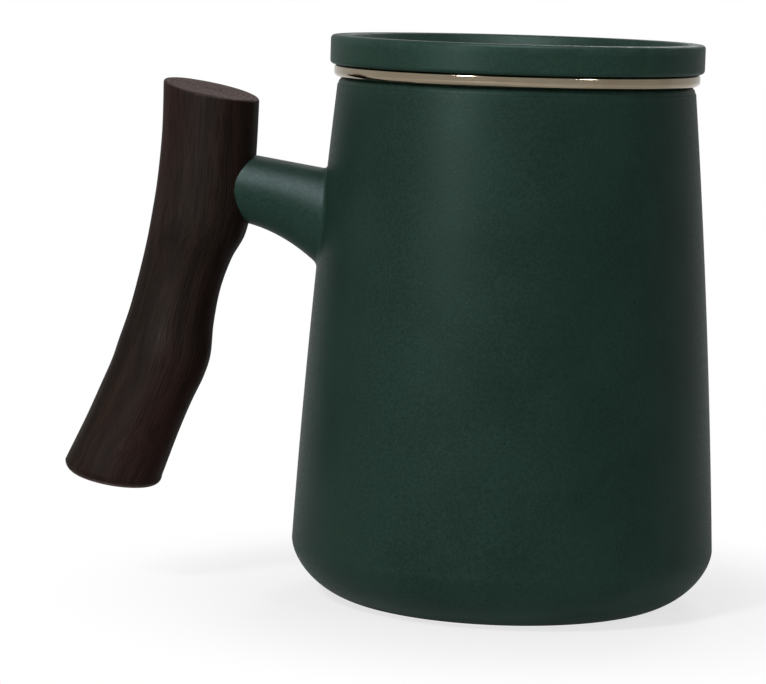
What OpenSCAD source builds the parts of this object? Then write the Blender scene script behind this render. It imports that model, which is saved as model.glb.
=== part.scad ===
// Lidded tea mug with a lift-out infuser and a branch-shaped wooden grip.
// Millimetres. +Z is up. The origin is the centre of the foot, on the surface that the mug stands on.
// The handle points along -X.

/* [Mug] */
// Height of the rim above the table
mug_h = 117.3; // [105:0.1:135]
// Outside diameter of the mouth
mouth_d = 80; // [76:0.5:88]
// Largest outside diameter, just above the base
belly_d = 95.4; // [90:0.2:104]
// Height of the largest diameter
belly_z = 12.7; // [9:0.1:18]
// How full the curve between foot and belly is: 1 is a straight chamfer, 2 an ellipse
corner_power = 1.7; // [1.4:0.1:2.4]
// How far the side bows out from a straight cone
side_bow = 0.65; // [0:0.05:1.5]
// Outside diameter of the flat foot ring
foot_d = 66.8; // [60:0.2:74]
// Width of the foot ring
foot_ring_w = 5; // [3:0.5:8]
// Depth of the recess inside the foot ring
foot_recess = 1.6; // [0.8:0.1:2.4]
// Thickness of the side wall
wall_t = 4.2; // [3.8:0.1:5]
// Thickness of the base above the table
floor_t = 6; // [4.5:0.5:9]
// Rounding of the rim's two edges
rim_round = 1.7; // [1:0.1:1.8]
// Radius between the inside wall and the floor
inner_round = 9; // [5:0.5:14]

/* [Infuser] */
// Clearance between the infuser's collar and the mouth
infuser_gap = 0.8; // [0.4:0.1:1.5]
// Thickness of the rolled rim's sheet and of the base's sheet
sheet_t = 0.5; // [0.4:0.05:0.6]
// Thickness of the perforated side sheet
mesh_t = 0.4; // [0.3:0.05:0.5]
// Height of the rolled lip that hangs on the mug's rim
lip_h = 2.8; // [2.4:0.1:3.2]
// How far the lip stands out past the mouth
lip_overhang = 0.95; // [0.4:0.05:1.5]
// Outside radius of the lip's lower edge
lip_low_round = 1.1; // [0.8:0.1:1.3]
// Outside radius of the fold at the lip's upper edge
lip_top_round = 0.8; // [0.7:0.05:1]
// Width of the hem that is folded back on top of the lip
hem_w = 3.4; // [2.6:0.1:4]
// Length of the collar below the rim
collar_h = 9; // [7:0.5:12]
// Centreline radius of the bend from collar to flange
collar_bend = 1.2; // [1:0.1:1.6]
// How far the top of the side sheet lies below the rim
mesh_drop = 3; // [2.5:0.5:4]
// Depth of the basket below the rim
infuser_depth = 75; // [60:1:85]
// Height of the base's turned-up edge
base_edge_h = 3.5; // [2.5:0.5:5]
// Diameter of the holes
hole_d = 2.4; // [1.6:0.1:3]
// Number of holes around the side
hole_columns = 20; // [12:1:36]
// Number of rows of holes up the side
hole_rows = 7; // [4:1:10]
// Plain bands between the holes and the sheets that overlap the side
plain_band = 3; // [2:0.5:6]
// Distance between the rings of holes in the base
ring_pitch = 7; // [5:0.5:7.5]
// Number of rings of holes in the base
base_rings = 4; // [2:1:4]

/* [Lid] */
// How far the lid stands out past the mouth
lid_overhang = 1.9; // [1.4:0.1:3]
// Height of the lid's side
lid_h = 6.5; // [6:0.1:10]
// Rounding of the lid's edges
lid_round = 0.9; // [0.5:0.1:1.2]
// Depth of the tray in the lid's top
tray_depth = 3.3; // [2.7:0.1:3.6]
// Width of the raised rim round the tray
tray_rim_w = 4.3; // [3:0.1:6]
// Radius between the tray's wall and floor
tray_round = 1.5; // [0.8:0.1:1.8]
// How far the tray's wall leans outwards, in degrees from upright
tray_lean = 35; // [20:1:45]
// Height of the skirt under the lid
skirt_h = 7; // [4.5:0.1:8.7]
// Thickness of the skirt
skirt_t = 3; // [2.2:0.1:4]
// Clearance between the skirt and the infuser
skirt_gap = 0.7; // [0.4:0.1:1.2]

/* [Handle] */
// Height of the rim above the point where stub and grip meet
joint_drop = 26.1; // [22:0.1:32]
// Distance between the mug's wall and the grip's face at that height
stub_reach = 16.6; // [14:0.1:20]
// How much the stub's axis rises towards the grip, in degrees
stub_tilt = 10; // [4:1:14]
// Radius of the stub's round end
tenon_r = 7.7; // [7:0.1:8.2]
// Depth of the socket in the grip
socket_depth = 6.3; // [5:0.1:7]
// Thickness of the cushion washer in the socket
washer_t = 1; // [0.6:0.1:1.4]
// Diameter of the stud
stud_d = 5; // [4:0.5:5]
// Length of the stud's end in the wood
stud_in_wood = 11; // [8:0.5:11.5]
// Length of the stud's end in the insert
stud_in_stub = 12.5; // [9:0.5:13.5]
// Diameter of the threaded insert
insert_d = 8; // [7:0.5:9]
// Length of the threaded insert
insert_l = 14; // [13:0.5:15]
// How far the grip reaches above the joint
grip_up = 21.65; // [18:0.05:26]
// How far the grip reaches below the joint
grip_down = 64.4; // [54:0.1:72]
// Depth of the grip from back to front, at its top
grip_depth = 21.6; // [20.6:0.1:24]
// How far the grip's lower end leans away from the mug
grip_lean = 19.3; // [10:0.1:26]
// How far the grip's face stands in front of the joint
grip_set = 0.25; // [0:0.05:0.3]
// Half the grip's width across, as a share of half its depth
grip_flat = 0.97; // [0.9:0.01:1.05]
// Rounding of the grip's top edge
grip_top_round = 0.7; // [0.3:0.1:1.5]
// Rounding of the grip's bottom edge
grip_end_round = 2.2; // [1:0.1:3]

/* [Hidden] */
$fn = 96;
fit = 0.05;          // clearance of parts that are glued or screwed together
thread_pitch = 1;    // of the stud's grooves, as rings
thread_depth = 0.35; // of the same grooves
wood_pitch = 2;      // of the coarser grooves in the wood
wood_thread_depth = 0.7;
arc_steps = 8;       // points on each small round
side_steps = 16;     // points up the mug's side
grip_rings = 48;     // sections along the grip
grip_sides = 32;     // points round each section
stub_rings = 20;     // sections along the stub
stub_sides = 40;
over = 1;            // how far a cutter runs past what it cuts

mouth_r = mouth_d / 2;
belly_r = belly_d / 2;
foot_r = foot_d / 2;
mouth_in_r = mouth_r - wall_t;

lip_r = mouth_r + lip_overhang;
collar_x = mouth_in_r - infuser_gap - sheet_t / 2; // centreline of the collar
mesh_r = collar_x - sheet_t / 2;               // outside of the perforated sheet
mesh_in_r = mesh_r - mesh_t;
mesh_top = mug_h - mesh_drop;
base_z = mug_h - infuser_depth;
holes_low = base_z + base_edge_h + plain_band;
holes_high = mug_h - collar_h - plain_band;

lid_r = mouth_r + lid_overhang;
lid_z = mug_h + lip_h; // the lid rests on the hem
skirt_r = mesh_in_r - skirt_gap;
tray_r = lid_r - tray_rim_w;
tray_z = lid_z + lid_h - tray_depth;
tray_fall = tray_depth - (lid_round + tray_round) * (1 - sin(tray_lean)); // height of its wall's straight part
tray_floor_r = tray_r + lid_round - (lid_round + tray_round) * cos(tray_lean) - tray_fall * tan(tray_lean);

joint_z = mug_h - joint_drop;
joint_x = -(outer_r(joint_z) + stub_reach);
tenon_end = -(socket_depth - washer_t); // along the joint's axis, which points at the mug
insert_bore_r = insert_d / 2 + fit;
stud_bore_r = stud_d / 2 + fit;
shoulder = 0.2;      // how much smaller the tip of the tenon is
flare_start = tenon_end + 0.8;
flare_run = 4;       // how far it runs on into the wall, which then cuts it to fit
flare_end = stub_reach + flare_run;

// The grip's shape from top to bottom, in shares: height above or below the joint, how far the
// section leans out, and its depth. It is thinnest in the finger hollow, over a knuckle.
grip_shape = [
    [1, -0.048, 1],
    [0.5, -0.036, 0.988],
    [0, 0, 0.998],
    [-0.127, 0.065, 0.984],
    [-0.22, 0.166, 0.896],
    [-0.33, 0.264, 0.859],
    [-0.453, 0.347, 0.887],
    [-0.562, 0.418, 0.963],
    [-0.64, 0.498, 0.968],
    [-0.733, 0.633, 0.958],
    [-0.842, 0.783, 0.968],
    [-1, 1, 1.023]
];
// The same in millimetres: height above the joint, distance of the centre behind it, half depth
grip_sections = [
    for (s = grip_shape)
        [s[0] * (s[0] > 0 ? grip_up : grip_down),
         grip_depth / 2 - grip_set + grip_lean * s[1],
         grip_depth / 2 * s[2]]
];
// Slopes of the grip's sawn ends, and of its sections between: along X and along Y
grip_slope_top = [-0.185, 0.088];
grip_slope_end = [-0.15, 0.088];

// ---- shared curves ----

function arc(centre, r, from, to, steps = arc_steps) = [
    for (i = [0 : steps])
        let (a = from + (to - from) * i / steps)
            centre + r * [cos(a), sin(a)]
];

function reversed(points) = [for (i = [len(points) - 1 : -1 : 0]) points[i]];

// Radius of the mug's side at a height between belly and rim
function outer_r(z) =
    let (u = (z - belly_z) / (mug_h - belly_z))
        belly_r + (mouth_r - belly_r) * u + side_bow * 4 * u * (1 - u);

// From the foot ring's edge out and up to the belly
function base_corner() = [
    for (i = [0 : side_steps])
        let (a = 90 * i / side_steps)
            [foot_r + (belly_r - foot_r) * pow(sin(a), 2 / corner_power),
             belly_z * (1 - pow(cos(a), 2 / corner_power))]
];

// Up the side, from just above the belly to just under the rim's rounding
function side(inset, from_z, to_z) = [
    for (i = [0 : side_steps])
        let (z = from_z + (to_z - from_z) * i / side_steps)
            [outer_r(z) - inset, z]
];

// One face of the rolled rim's sheet: up the collar, out over the mug's rim, up round the
// lip's lower edge, over its upper edge and back along the hem. which is +1 for the outer face,
// -1 inside.
function rim_edge(which) =
    let (h = which * sheet_t / 2,
         inset = sheet_t / 2 - h)
        concat(
            [[collar_x + h, mug_h - collar_h]],
            arc([collar_x + collar_bend, mug_h + sheet_t / 2 - collar_bend], collar_bend - h, 180, 90),
            arc([lip_r - lip_low_round, mug_h + lip_low_round], lip_low_round - inset, -90, 0),
            arc([lip_r - lip_top_round, mug_h + lip_h - lip_top_round], lip_top_round - inset, 0, 90),
            [[lip_r - hem_w, mug_h + lip_h - inset]]
        );

// ---- mug ----

module mug_outside() {
    rotate_extrude()
        polygon(concat(
            [[0, 0]],
            base_corner(),
            side(0, belly_z + 2, mug_h - rim_round),
            arc([mouth_r - rim_round, mug_h - rim_round], rim_round, 0, 90),
            [[0, mug_h]]
        ));
}

module mug_body() {
    floor_corner_r = outer_r(floor_t + inner_round) - wall_t - inner_round;
    color("darkslategray")
        rotate_extrude()
            polygon(concat(
                [[0, foot_recess], [foot_r - foot_ring_w, foot_recess], [foot_r - foot_ring_w, 0]],
                base_corner(),
                side(0, belly_z + 2, mug_h - rim_round),
                arc([mouth_r - rim_round, mug_h - rim_round], rim_round, 0, 90),
                arc([mouth_in_r + rim_round, mug_h - rim_round], rim_round, 90, 180),
                reversed(side(wall_t, floor_t + inner_round, mug_h - 2 * rim_round)),
                arc([floor_corner_r, floor_t + inner_round], inner_round, 0, -90),
                [[0, floor_t]]
            ));
}

// ---- handle ----

// Children stand on the joint's axis: their +Z points from the grip into the mug
module on_joint_axis() {
    translate([joint_x, 0, joint_z])
        rotate([0, 90 + stub_tilt, 0])
            children();
}

// The stub's half sizes at a distance along the joint's axis: above, below, across.
// It is round and straight in the socket, and flares from the grip's face to the mug.
function flare_up(s) = tenon_r + 0.02 * max(s, 0);
function flare_down(s) = tenon_r + 0.03 * max(s, 0) + 0.0165 * pow(max(s, 0), 2);
function flare_across(s) = tenon_r + 0.03 * max(s, 0) + 0.003 * pow(max(s, 0), 2);

// On the joint's axis, local -X is up
function flare_ring(s) = [
    for (i = [0 : stub_sides - 1])
        let (a = 360 * i / stub_sides,
             mid = (flare_down(s) - flare_up(s)) / 2,
             half = (flare_down(s) + flare_up(s)) / 2)
            [mid + half * cos(a), flare_across(s) * sin(a), s]
];

// Skins a stack of rings, each with the same number of points, into a closed solid
module skin(rings) {
    n = len(rings[0]);
    last = len(rings) - 1;
    points = [for (ring = rings) each ring];
    sides = [
        for (k = [0 : last - 1], i = [0 : n - 1])
            let (a = k * n + i, b = k * n + (i + 1) % n)
                each [[a, b + n, b], [a, a + n, b + n]]
    ];
    low = [for (i = [0 : n - 1]) i];
    high = [for (i = [n - 1 : -1 : 0]) last * n + i];
    polyhedron(points, concat(sides, [low, high]), convexity = 4);
}

module handle_stub() {
    color("darkslategray")
        difference() {
            on_joint_axis()
                difference() {
                    union() {
                        translate([0, 0, tenon_end])
                            cylinder(r = tenon_r - shoulder, h = -tenon_end);
                        skin([for (k = [0 : stub_rings])
                            flare_ring(flare_start + (flare_end - flare_start) * k / stub_rings)]);
                    }
                    translate([0, 0, tenon_end - over])
                        cylinder(r = insert_bore_r, h = insert_l + over + 2 * fit);
                }
            mug_outside();
        }
}

module stub_insert() {
    color("goldenrod")
        on_joint_axis()
            translate([0, 0, tenon_end + fit])
                difference() {
                    cylinder(d = insert_d, h = insert_l);
                    translate([0, 0, -over])
                        cylinder(r = stud_bore_r, h = insert_l + 2 * over);
                }
}

// Ring-shaped thread crests between two heights on a rod's outline
function crests(r, depth, pitch, from_z, to_z) =
    let (n = floor((to_z - from_z) / pitch))
        [for (i = [0 : n - 1])
            let (z = from_z + i * pitch)
                each [[r, z], [r, z + pitch * 0.3], [r - depth, z + pitch * 0.6], [r - depth, z + pitch * 0.7]]];

module handle_stud() {
    r = stud_d / 2;
    wood_tip = -socket_depth - stud_in_wood;
    shank = -socket_depth - 1;
    stub_tip = tenon_end + stud_in_stub;
    color("silver")
        on_joint_axis()
            rotate_extrude()
                polygon(concat(
                    [[0, wood_tip], [r * 0.5, wood_tip]],
                    crests(r, wood_thread_depth, wood_pitch, wood_tip + 1.5, shank),
                    [[r, shank], [r, tenon_end + 1]],
                    crests(r, thread_depth, thread_pitch, tenon_end + 1.5, stub_tip - 0.6),
                    [[r - thread_depth, stub_tip], [0, stub_tip]]
                ));
}

module handle_washer() {
    color("dimgray")
        on_joint_axis()
            translate([0, 0, -socket_depth])
                difference() {
                    cylinder(r = tenon_r - 0.4, h = washer_t);
                    translate([0, 0, -over])
                        cylinder(r = stud_bore_r + 0.3, h = washer_t + 2 * over);
                }
}

// A smooth curve through rows of numbers: u counts rows
function smooth(rows, u) =
    let (last = len(rows) - 1,
         k = min(floor(u), last - 1),
         t = u - k,
         p0 = rows[max(k - 1, 0)],
         p1 = rows[k],
         p2 = rows[k + 1],
         p3 = rows[min(k + 2, last)])
        p1 + (p2 - p0) * t / 2
           + (2 * p0 - 5 * p1 + 4 * p2 - p3) * t * t / 2
           + (3 * p1 - p0 - 3 * p2 + p3) * t * t * t / 2;

// One section of the grip: u counts the rows of grip_sections, inset draws its edge in and
// shift moves it up, for the rounded ends
function grip_ring(u, inset = 0, shift = 0) =
    let (row = smooth(grip_sections, u),
         mid = row[1],
         half = row[2],
         v = u / (len(grip_sections) - 1),
         slope = grip_slope_top * (1 - v) + grip_slope_end * v)
        [for (i = [0 : grip_sides - 1])
            let (a = 360 * i / grip_sides,
                 x = (half - inset) * cos(a),
                 y = (half * grip_flat - inset) * sin(a))
                [joint_x - mid + x, y, joint_z + row[0] + shift + slope[0] * x + slope[1] * y]];

module handle_grip() {
    last = len(grip_sections) - 1;
    turns = [90, 60, 30];
    bottom = [for (a = turns) grip_ring(last, grip_end_round * (1 - cos(a)), -grip_end_round * sin(a))];
    top = [for (a = [30, 60, 90]) grip_ring(0, grip_top_round * (1 - cos(a)), grip_top_round * sin(a))];
    middle = [for (k = [grip_rings : -1 : 0]) grip_ring(last * k / grip_rings)];
    color("saddlebrown")
        difference() {
            skin(concat(bottom, middle, top));
            on_joint_axis() {
                translate([0, 0, -socket_depth])
                    cylinder(r = tenon_r + fit, h = 3 * socket_depth);
                translate([0, 0, -socket_depth - stud_in_wood - fit])
                    cylinder(r = stud_bore_r, h = stud_in_wood + over);
            }
        }
}

// ---- infuser ----

module infuser_rim() {
    color("tan")
        rotate_extrude()
            polygon(concat(rim_edge(1), reversed(rim_edge(-1))));
}

module infuser_wall() {
    pitch = (holes_high - holes_low) / (hole_rows - 1);
    color("lightgray")
        difference() {
            translate([0, 0, base_z])
                cylinder(r = mesh_r, h = mesh_top - base_z);
            translate([0, 0, base_z - over])
                cylinder(r = mesh_in_r, h = mesh_top - base_z + 2 * over);
            for (row = [0 : hole_rows - 1], column = [0 : hole_columns - 1])
                rotate([0, 0, 360 / hole_columns * (column + 0.5 * (row % 2))])
                    translate([mesh_in_r - over, 0, holes_low + row * pitch])
                        rotate([0, 90, 0])
                            cylinder(d = hole_d, h = mesh_t + 2 * over, $fn = 24);
        }
}

module infuser_base() {
    bend = 2 * sheet_t;
    color("lightgray")
        difference() {
            rotate_extrude()
                polygon(concat(
                    [[0, base_z]],
                    arc([mesh_in_r - bend, base_z + bend], bend, -90, 0),
                    [[mesh_in_r, base_z + base_edge_h], [mesh_in_r - sheet_t, base_z + base_edge_h]],
                    arc([mesh_in_r - bend, base_z + bend], bend - sheet_t, 0, -90),
                    [[0, base_z + sheet_t]]
                ));
            for (ring = [0 : base_rings], i = [0 : max(6 * ring, 1) - 1])
                rotate([0, 0, 360 * i / max(6 * ring, 1)])
                    translate([ring * ring_pitch, 0, base_z - over])
                        cylinder(d = hole_d, h = sheet_t + 2 * over, $fn = 24);
        }
}

// ---- lid ----

module lid() {
    top_z = lid_z + lid_h;
    color("darkslategray")
        rotate_extrude()
            polygon(concat(
                [[0, lid_z], [skirt_r - skirt_t, lid_z]],
                arc([skirt_r - skirt_t + lid_round, lid_z - skirt_h + lid_round], lid_round, 180, 270),
                arc([skirt_r - lid_round, lid_z - skirt_h + lid_round], lid_round, 270, 360),
                [[skirt_r, lid_z]],
                arc([lid_r - lid_round, lid_z + lid_round], lid_round, -90, 0),
                arc([lid_r - lid_round, top_z - lid_round], lid_round, 0, 90),
                arc([tray_r + lid_round, top_z - lid_round], lid_round, 90, 180 - tray_lean),
                arc([tray_floor_r, tray_z + tray_round], tray_round, -tray_lean, -90),
                [[0, tray_z]]
            ));
}

mug_body();
handle_stub();
stub_insert();
handle_stud();
handle_washer();
handle_grip();
infuser_rim();
infuser_wall();
infuser_base();
lid();
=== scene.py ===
# Lidded tea mug with infuser: the looks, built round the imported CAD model.
# Pieces are worked out in millimetres and written in metres, in the CAD model's own frame.
import math

import bpy
import numpy as np
from mathutils import Matrix, Vector


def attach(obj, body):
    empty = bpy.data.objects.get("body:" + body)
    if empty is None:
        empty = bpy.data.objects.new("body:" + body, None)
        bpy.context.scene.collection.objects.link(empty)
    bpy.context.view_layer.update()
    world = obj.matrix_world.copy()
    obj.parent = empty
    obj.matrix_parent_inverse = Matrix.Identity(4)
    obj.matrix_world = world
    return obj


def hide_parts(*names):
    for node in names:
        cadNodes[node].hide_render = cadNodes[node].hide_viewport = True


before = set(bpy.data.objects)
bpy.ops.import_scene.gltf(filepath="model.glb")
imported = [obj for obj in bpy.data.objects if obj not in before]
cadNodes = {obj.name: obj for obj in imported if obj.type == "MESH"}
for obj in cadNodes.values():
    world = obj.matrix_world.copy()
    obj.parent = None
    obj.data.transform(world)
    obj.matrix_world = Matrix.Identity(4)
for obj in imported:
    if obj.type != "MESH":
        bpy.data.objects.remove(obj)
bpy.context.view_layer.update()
scene = bpy.context.scene
mm = 0.001
sharpTurn = math.radians(40)   # an edge that turns further than this is shaded sharp
eighths = np.radians(45) * np.arange(8)   # the eight points round a small hole
print("frame loaded:", len(cadNodes), "nodes")


# Shapes as grids of points, in millimetres.

def allRound(count):
    # angles evenly round a full turn
    return np.linspace(0, 2 * np.pi, count, endpoint=False)


def circle(a):
    # points of a circle of radius 1: (cos a, sin a)
    return np.stack([np.cos(a), np.sin(a)], -1)


def arc(centre, radius, start, end, steps):
    # part of a circle: centre + radius * (cos a, sin a), with a in degrees from start to end
    return centre + radius * circle(np.radians(np.linspace(start, end, steps + 1)))


def run(start, end, spacing):
    # a straight run of points at least spacing apart, both ends included
    start, end = np.array(start, float), np.array(end, float)
    steps = max(int(np.hypot(*(end - start)) / spacing), 1)
    return start + (end - start) * np.linspace(0, 1, steps + 1)[:, None]


def joined(*parts, tooClose=1e-4):
    # the parts one after another, without the points that repeat
    line = np.concatenate([np.atleast_2d(np.array(p, float)) for p in parts])
    gap = np.hypot(*np.diff(line, axis=0).T)
    return line[np.concatenate([[True], gap > tooClose])]


def edgeShare(line, reach=0.6, fullTurn=0.5):
    # 1 where a profile turns outwards by fullTurn radians a millimetre, fading over reach millimetres
    step = np.diff(line, axis=0)
    length = np.hypot(*step.T)
    heading = np.unwrap(np.arctan2(step[:, 1], step[:, 0]))
    turn = np.zeros(len(line))
    turn[1:-1] = np.diff(heading) * 2 / (length[1:] + length[:-1])
    along = np.concatenate([[0], np.cumsum(length)])
    share = np.clip(turn / fullTurn, 0, 1)
    return (share * np.exp(-(((along[:, None] - along) / reach) ** 2))).max(1)


def quads(low, high):
    # faces between lines of point numbers in low and their neighbours in high; the lines close
    return np.stack([low, np.roll(low, -1, 1), np.roll(high, -1, 1), high], -1).reshape(-1, 4)


def skin(name, grid, startPole=None, endPole=None, closeRows=False, marks=None):
    # quads between neighbouring rows and columns of a grid of points, whose columns close;
    # a pole point closes an open end with a fan, and marks are point attributes
    points = grid.reshape(-1, 3)
    index = np.arange(len(points)).reshape(grid.shape[:2])
    low = index if closeRows else index[:-1]
    faces = quads(low, np.roll(index, -1, 0)[:len(low)]).tolist()
    for pole, row, way in ((startPole, index[0], -1), (endPole, index[-1], 1)):
        if pole is not None:
            tip = np.full(len(row), len(points))
            faces += np.stack([tip, *(row, np.roll(row, -1))[::way]], 1).tolist()
            points = np.concatenate([points, [pole]])
    return meshPiece(name, points, faces, marks)


def intoScene(name, data):
    # an object for a mesh, a lamp or a camera
    item = bpy.data.objects.new(name, data)
    scene.collection.objects.link(item)
    return item


def meshPiece(name, points, faces, marks=None):
    # points in millimetres into a smooth mesh object at the origin
    mesh = bpy.data.meshes.new(name)
    mesh.from_pydata((points * mm).tolist(), [], faces)
    finishMesh(mesh, marks or {})
    return intoScene(name, mesh)


def finishMesh(mesh, marks):
    # each mark becomes a point attribute, and the faces are shaded smooth
    for key, values in marks.items():
        values = np.asarray(values, np.float32)
        kind, field = ("FLOAT", "value") if values.ndim == 1 else ("FLOAT_VECTOR", "vector")
        mesh.attributes.new(key, kind, "POINT").data.foreach_set(field, values.ravel())
    mesh.shade_smooth()
    mesh.set_sharp_from_angle(angle=sharpTurn)


def turned(line, a):
    # a profile of (radius, height) at angles round the mug's axis: (r cos a, r sin a, z)
    return np.stack([line[:, :1] * np.cos(a), line[:, :1] * np.sin(a), line[:, 1:] + 0 * a], -1)


def lathe(name, line, columns=288, closeRows=False, marks=None):
    # a profile carried all round; one that starts or ends on the axis is closed there by a pole
    onAxis = 1e-6
    first, last = int(line[0, 0] < onAxis), len(line) - int(line[-1, 0] < onAxis)
    marks = {"edge": edgeShare(line), **(marks or {})}
    order = np.repeat(np.arange(first, last), columns).tolist()
    order += [0] * first + [-1] * (len(line) - last)   # the poles come last
    return skin(name, turned(line[first:last], allRound(columns)),
                [0, 0, line[0, 1]] if first else None,
                [0, 0, line[-1, 1]] if last < len(line) else None,
                closeRows, {key: np.asarray(values)[order] for key, values in marks.items()})


def settle(piece, body, replaced, material):
    # the piece moves with a body, stands for a CAD node and takes the given material as its finish
    piece.data.materials.clear()
    piece.data.materials.append(material)
    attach(piece, body)
    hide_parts(replaced)
    print("piece:", piece.name, len(piece.data.polygons), "faces")


# Nodes.

def addNode(tree, kind, inputs=None, **settings):
    # a node with its settings; an input is a value or another node's socket
    node = tree.nodes.new("ShaderNode" + kind)
    for key, value in settings.items():
        setattr(node, key, value)
    for key, value in (inputs or {}).items():
        if isinstance(value, bpy.types.NodeSocket):
            tree.links.new(value, node.inputs[key])
        else:
            node.inputs[key].default_value = value
    return node


def calc(tree, operation, *values):
    # a Math node's result
    return addNode(tree, "Math", dict(enumerate(values)), operation=operation).outputs[0]


def times(tree, a, b):
    return calc(tree, "MULTIPLY", a, b)


def plus(tree, a, b):
    return calc(tree, "ADD", a, b)


def between(tree, value, low, high, start=0.0, end=1.0):
    # value from low..high carried smoothly to start..end
    node = addNode(tree, "MapRange", {"Value": value, "From Min": low, "From Max": high,
                                      "To Min": start, "To Max": end}, interpolation_type="SMOOTHSTEP")
    return node.outputs["Result"]


def noise(tree, place, scale, detail, roughness=0.5, output="Fac", **more):
    # a Noise Texture's result
    values = {"Vector": place, "Scale": scale, "Detail": detail, "Roughness": roughness, **more}
    return addNode(tree, "TexNoise", values).outputs[output]


def apartXYZ(tree, vector):
    return addNode(tree, "SeparateXYZ", {"Vector": vector}).outputs


def fromXYZ(tree, x, y, z=0.0):
    return addNode(tree, "CombineXYZ", {"X": x, "Y": y, "Z": z}).outputs[0]


def vectorCalc(tree, operation, *values, output="Vector"):
    return addNode(tree, "VectorMath", dict(enumerate(values)), operation=operation).outputs[output]


def blend(tree, share, a, b):
    # colour a towards colour b
    a, b = [c if isinstance(c, bpy.types.NodeSocket) else (*c, 1) for c in (a, b)]
    inputs = {0: share, 6: a, 7: b}   # colours are the Mix node's inputs 6 and 7 and its output 2
    return addNode(tree, "Mix", inputs, data_type="RGBA").outputs[2]


# Effects that materials share, as node groups; scales are in features per metre.

def newGroup(name, inputs):
    # a node group; its inputs are numbers with a default, or vectors without one
    group = bpy.data.node_groups.new(name, "ShaderNodeTree")
    for label, default in inputs.items():
        kind = "NodeSocketVector" if default is None else "NodeSocketFloat"
        socket = group.interface.new_socket(label, in_out="INPUT", socket_type=kind)
        if default is not None:
            socket.default_value = default
    return group, group.nodes.new("NodeGroupInput").outputs


def closeGroup(group, results):
    # the group's outputs by name, all of them numbers
    for label in results:
        group.interface.new_socket(label, in_out="OUTPUT", socket_type="NodeSocketFloat")
    end = group.nodes.new("NodeGroupOutput").inputs
    for label, value in results.items():
        group.links.new(value, end[label])
    return group


def useGroup(tree, group, inputs):
    return addNode(tree, "Group", inputs, node_tree=group).outputs


def stoneGrainGroup():
    # fired glaze: slow blotches, a fine sandy grain and a few pinholes
    group, start = newGroup("stoneGrain", {"Vector": None, "Blotch Scale": 45.0, "Grain Scale": 1600.0,
                                           "Pinhole Scale": 260.0})
    here = start["Vector"]
    blotch = noise(group, here, start["Blotch Scale"], 4.0, 0.55)
    grain = noise(group, here, start["Grain Scale"], 2.0, 0.6)
    cells = addNode(group, "TexVoronoi", {"Vector": here, "Scale": start["Pinhole Scale"]}).outputs
    chance = addNode(group, "SeparateColor", {"Color": cells["Color"]}).outputs[0]
    size = calc(group, "SUBTRACT", times(group, chance, 0.16), 0.09)
    pinhole = calc(group, "LESS_THAN", cells["Distance"], size)
    uneven = plus(group, grain, times(group, blotch, 0.8))
    return closeGroup(group, {"Blotch": between(group, blotch, 0.3, 0.7),
                              "Grain": between(group, grain, 0.28, 0.72),
                              "Pinhole": pinhole,
                              "Height": plus(group, uneven, times(group, pinhole, -1.2))})


def edgeWearGroup():
    # an edge mask broken up by noise: 1 where the finish is thin or rubbed
    group, start = newGroup("edgeWear", {"Vector": None, "Edge": 0.0, "Breakup Scale": 220.0, "Amount": 0.5})
    breakup = noise(group, start["Vector"], start["Breakup Scale"], 3.0, 0.6)
    broken = times(group, start["Edge"], between(group, breakup, 0.35, 0.7, 0.25, 1.0))
    return closeGroup(group, {"Mask": times(group, broken, start["Amount"])})


def turnedMetalGroup():
    # marks that run round the axis: noise over (cos a, sin a, height) with the radius as a fourth
    # coordinate, long along the turn and fine across it
    group, start = newGroup("turnedMetal", {"Vector": None, "Along": 3.0, "Across": 3000.0})
    here = start["Vector"]
    apart = apartXYZ(group, here)
    squares = [times(group, apart[axis], apart[axis]) for axis in "XY"]
    radius = calc(group, "SQRT", plus(group, *squares))
    notZero = calc(group, "MAXIMUM", radius, 0.0001)
    turn = [times(group, calc(group, "DIVIDE", apart[axis], notZero), start["Along"]) for axis in "XY"]
    place = fromXYZ(group, *turn, times(group, apart["Z"], start["Across"]))
    values = {"Vector": place, "W": times(group, radius, start["Across"]), "Scale": 1.0,
              "Detail": 3.0, "Roughness": 0.65}
    line = addNode(group, "TexNoise", values, noise_dimensions="4D").outputs["Fac"]
    smudge = noise(group, here, 90.0, 3.0, Distortion=0.6)
    return closeGroup(group, {"Line": between(group, line, 0.3, 0.7),
                              "Smudge": between(group, smudge, 0.35, 0.68)})


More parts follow.
